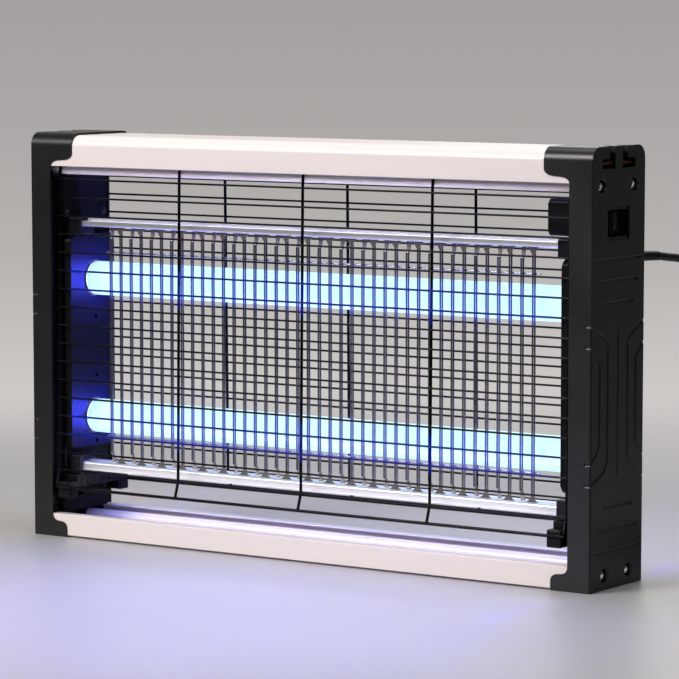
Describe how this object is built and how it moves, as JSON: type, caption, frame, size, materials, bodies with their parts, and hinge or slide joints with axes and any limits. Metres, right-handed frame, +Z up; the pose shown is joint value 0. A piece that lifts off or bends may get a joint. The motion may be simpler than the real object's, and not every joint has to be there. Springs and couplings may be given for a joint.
{
  "type": "electric bug zapper",
  "caption": "Box-shaped electric insect killer with two ultraviolet tubes behind a charged wire grid, hinged wire guards, black end caps and pale rails.",
  "frame": {"origin": "middle of the base, on the surface it stands on", "axes": "+X along the tubes towards the switch, -Y to the front, +Z up"},
  "size_m": [0.564, 0.2623, 0.305],
  "materials": {
    "cap_plastic": "satin moulded ABS",
    "inner_plastic": "matte moulded ABS",
    "painted_rail": "satin powder coat",
    "hanger_steel": "plated wire",
    "clip_plastic": "satin",
    "grid_aluminium": "mill finish",
    "grid_wire": "drawn wire",
    "insulator_plastic": "satin",
    "lamp_glass": "glowing",
    "lamp_metal": "spun",
    "white_plastic": "satin",
    "board": "solder mask",
    "winding": "taped winding",
    "blue_coating": "dipped epoxy",
    "dark_sleeve": "shrink sleeve",
    "fuse_glass": "clear",
    "wire_insulation": "silicone",
    "switch_plastic": "gloss",
    "screw_steel": "zinc plated",
    "cord_rubber": "satin PVC",
    "cord_fittings": "satin PVC",
    "pin_brass": "nickel washed",
    "guard_wire": "satin powder coat"
  },
  "bodies": {
    "housing": {"left_end_cap": "cap_plastic", "right_end_cap": "cap_plastic", "left_inner_cover": "inner_plastic", "right_inner_cover": "inner_plastic", "top_rail": "painted_rail", "bottom_rail": "painted_rail", "hanger_pins": "hanger_steel", "front_left_clip": "clip_plastic", "front_right_clip": "clip_plastic", "rear_left_clip": "clip_plastic", "rear_right_clip": "clip_plastic", "outer_grid_top_rail": "grid_aluminium", "outer_grid_bottom_rail": "grid_aluminium", "inner_grid_top_rail": "grid_aluminium", "inner_grid_bottom_rail": "grid_aluminium", "outer_grid_wires": "grid_wire", "inner_grid_wires": "grid_wire", "grid_cross_rods": "grid_wire", "top_left_insulator": "insulator_plastic", "top_right_insulator": "insulator_plastic", "bottom_left_insulator": "insulator_plastic", "bottom_right_insulator": "insulator_plastic", "upper_lamp_glass": "lamp_glass", "upper_lamp_bases": "lamp_metal", "lower_lamp_glass": "lamp_glass", "lower_lamp_bases": "lamp_metal", "upper_left_lampholder": "white_plastic", "upper_right_lampholder": "white_plastic", "lower_left_lampholder": "white_plastic", "lower_right_lampholder": "white_plastic", "circuit_board": "board", "hv_transformer": "winding", "multiplier_capacitors": "blue_coating", "filter_capacitor": "dark_sleeve", "lamp_driver_board": "board", "lamp_choke": "winding", "fuse": "fuse_glass", "terminal_block": "white_plastic", "wiring_harness": "wire_insulation", "rocker_switch_frame": "switch_plastic", "left_cap_screws": "screw_steel", "right_cap_screws": "screw_steel", "left_cover_screws": "screw_steel", "right_cover_screws": "screw_steel", "cord_strain_relief": "cord_fittings", "power_cord": "cord_rubber", "cord_coil": "cord_rubber", "coil_tie": "cord_fittings", "cord_tail": "cord_rubber", "plug_body": "cord_fittings", "plug_pins": "pin_brass"},
    "front_guard": {"front_guard_frame": "guard_wire", "front_guard_bars": "guard_wire", "front_guard_uprights": "guard_wire"},
    "rear_guard": {"rear_guard_frame": "guard_wire", "rear_guard_bars": "guard_wire", "rear_guard_uprights": "guard_wire"},
    "rocker": {"rocker_button": "switch_plastic"}
  },
  "joints": [
    {"name": "front_guard_hinge", "type": "hinge", "parent": "housing", "child": "front_guard", "pos_m": [0, -0.03, 0.283], "axis": [-1, 0, 0], "range_deg": [0, 45]},
    {"name": "rear_guard_hinge", "type": "hinge", "parent": "housing", "child": "rear_guard", "pos_m": [0, 0.03, 0.283], "axis": [1, 0, 0], "range_deg": [0, 45]},
    {"name": "rocker_hinge", "type": "hinge", "parent": "housing", "child": "rocker", "pos_m": [0.2368, 0, 0.25205], "axis": [0, 0, -1], "range_deg": [0, 20]}
  ]
}
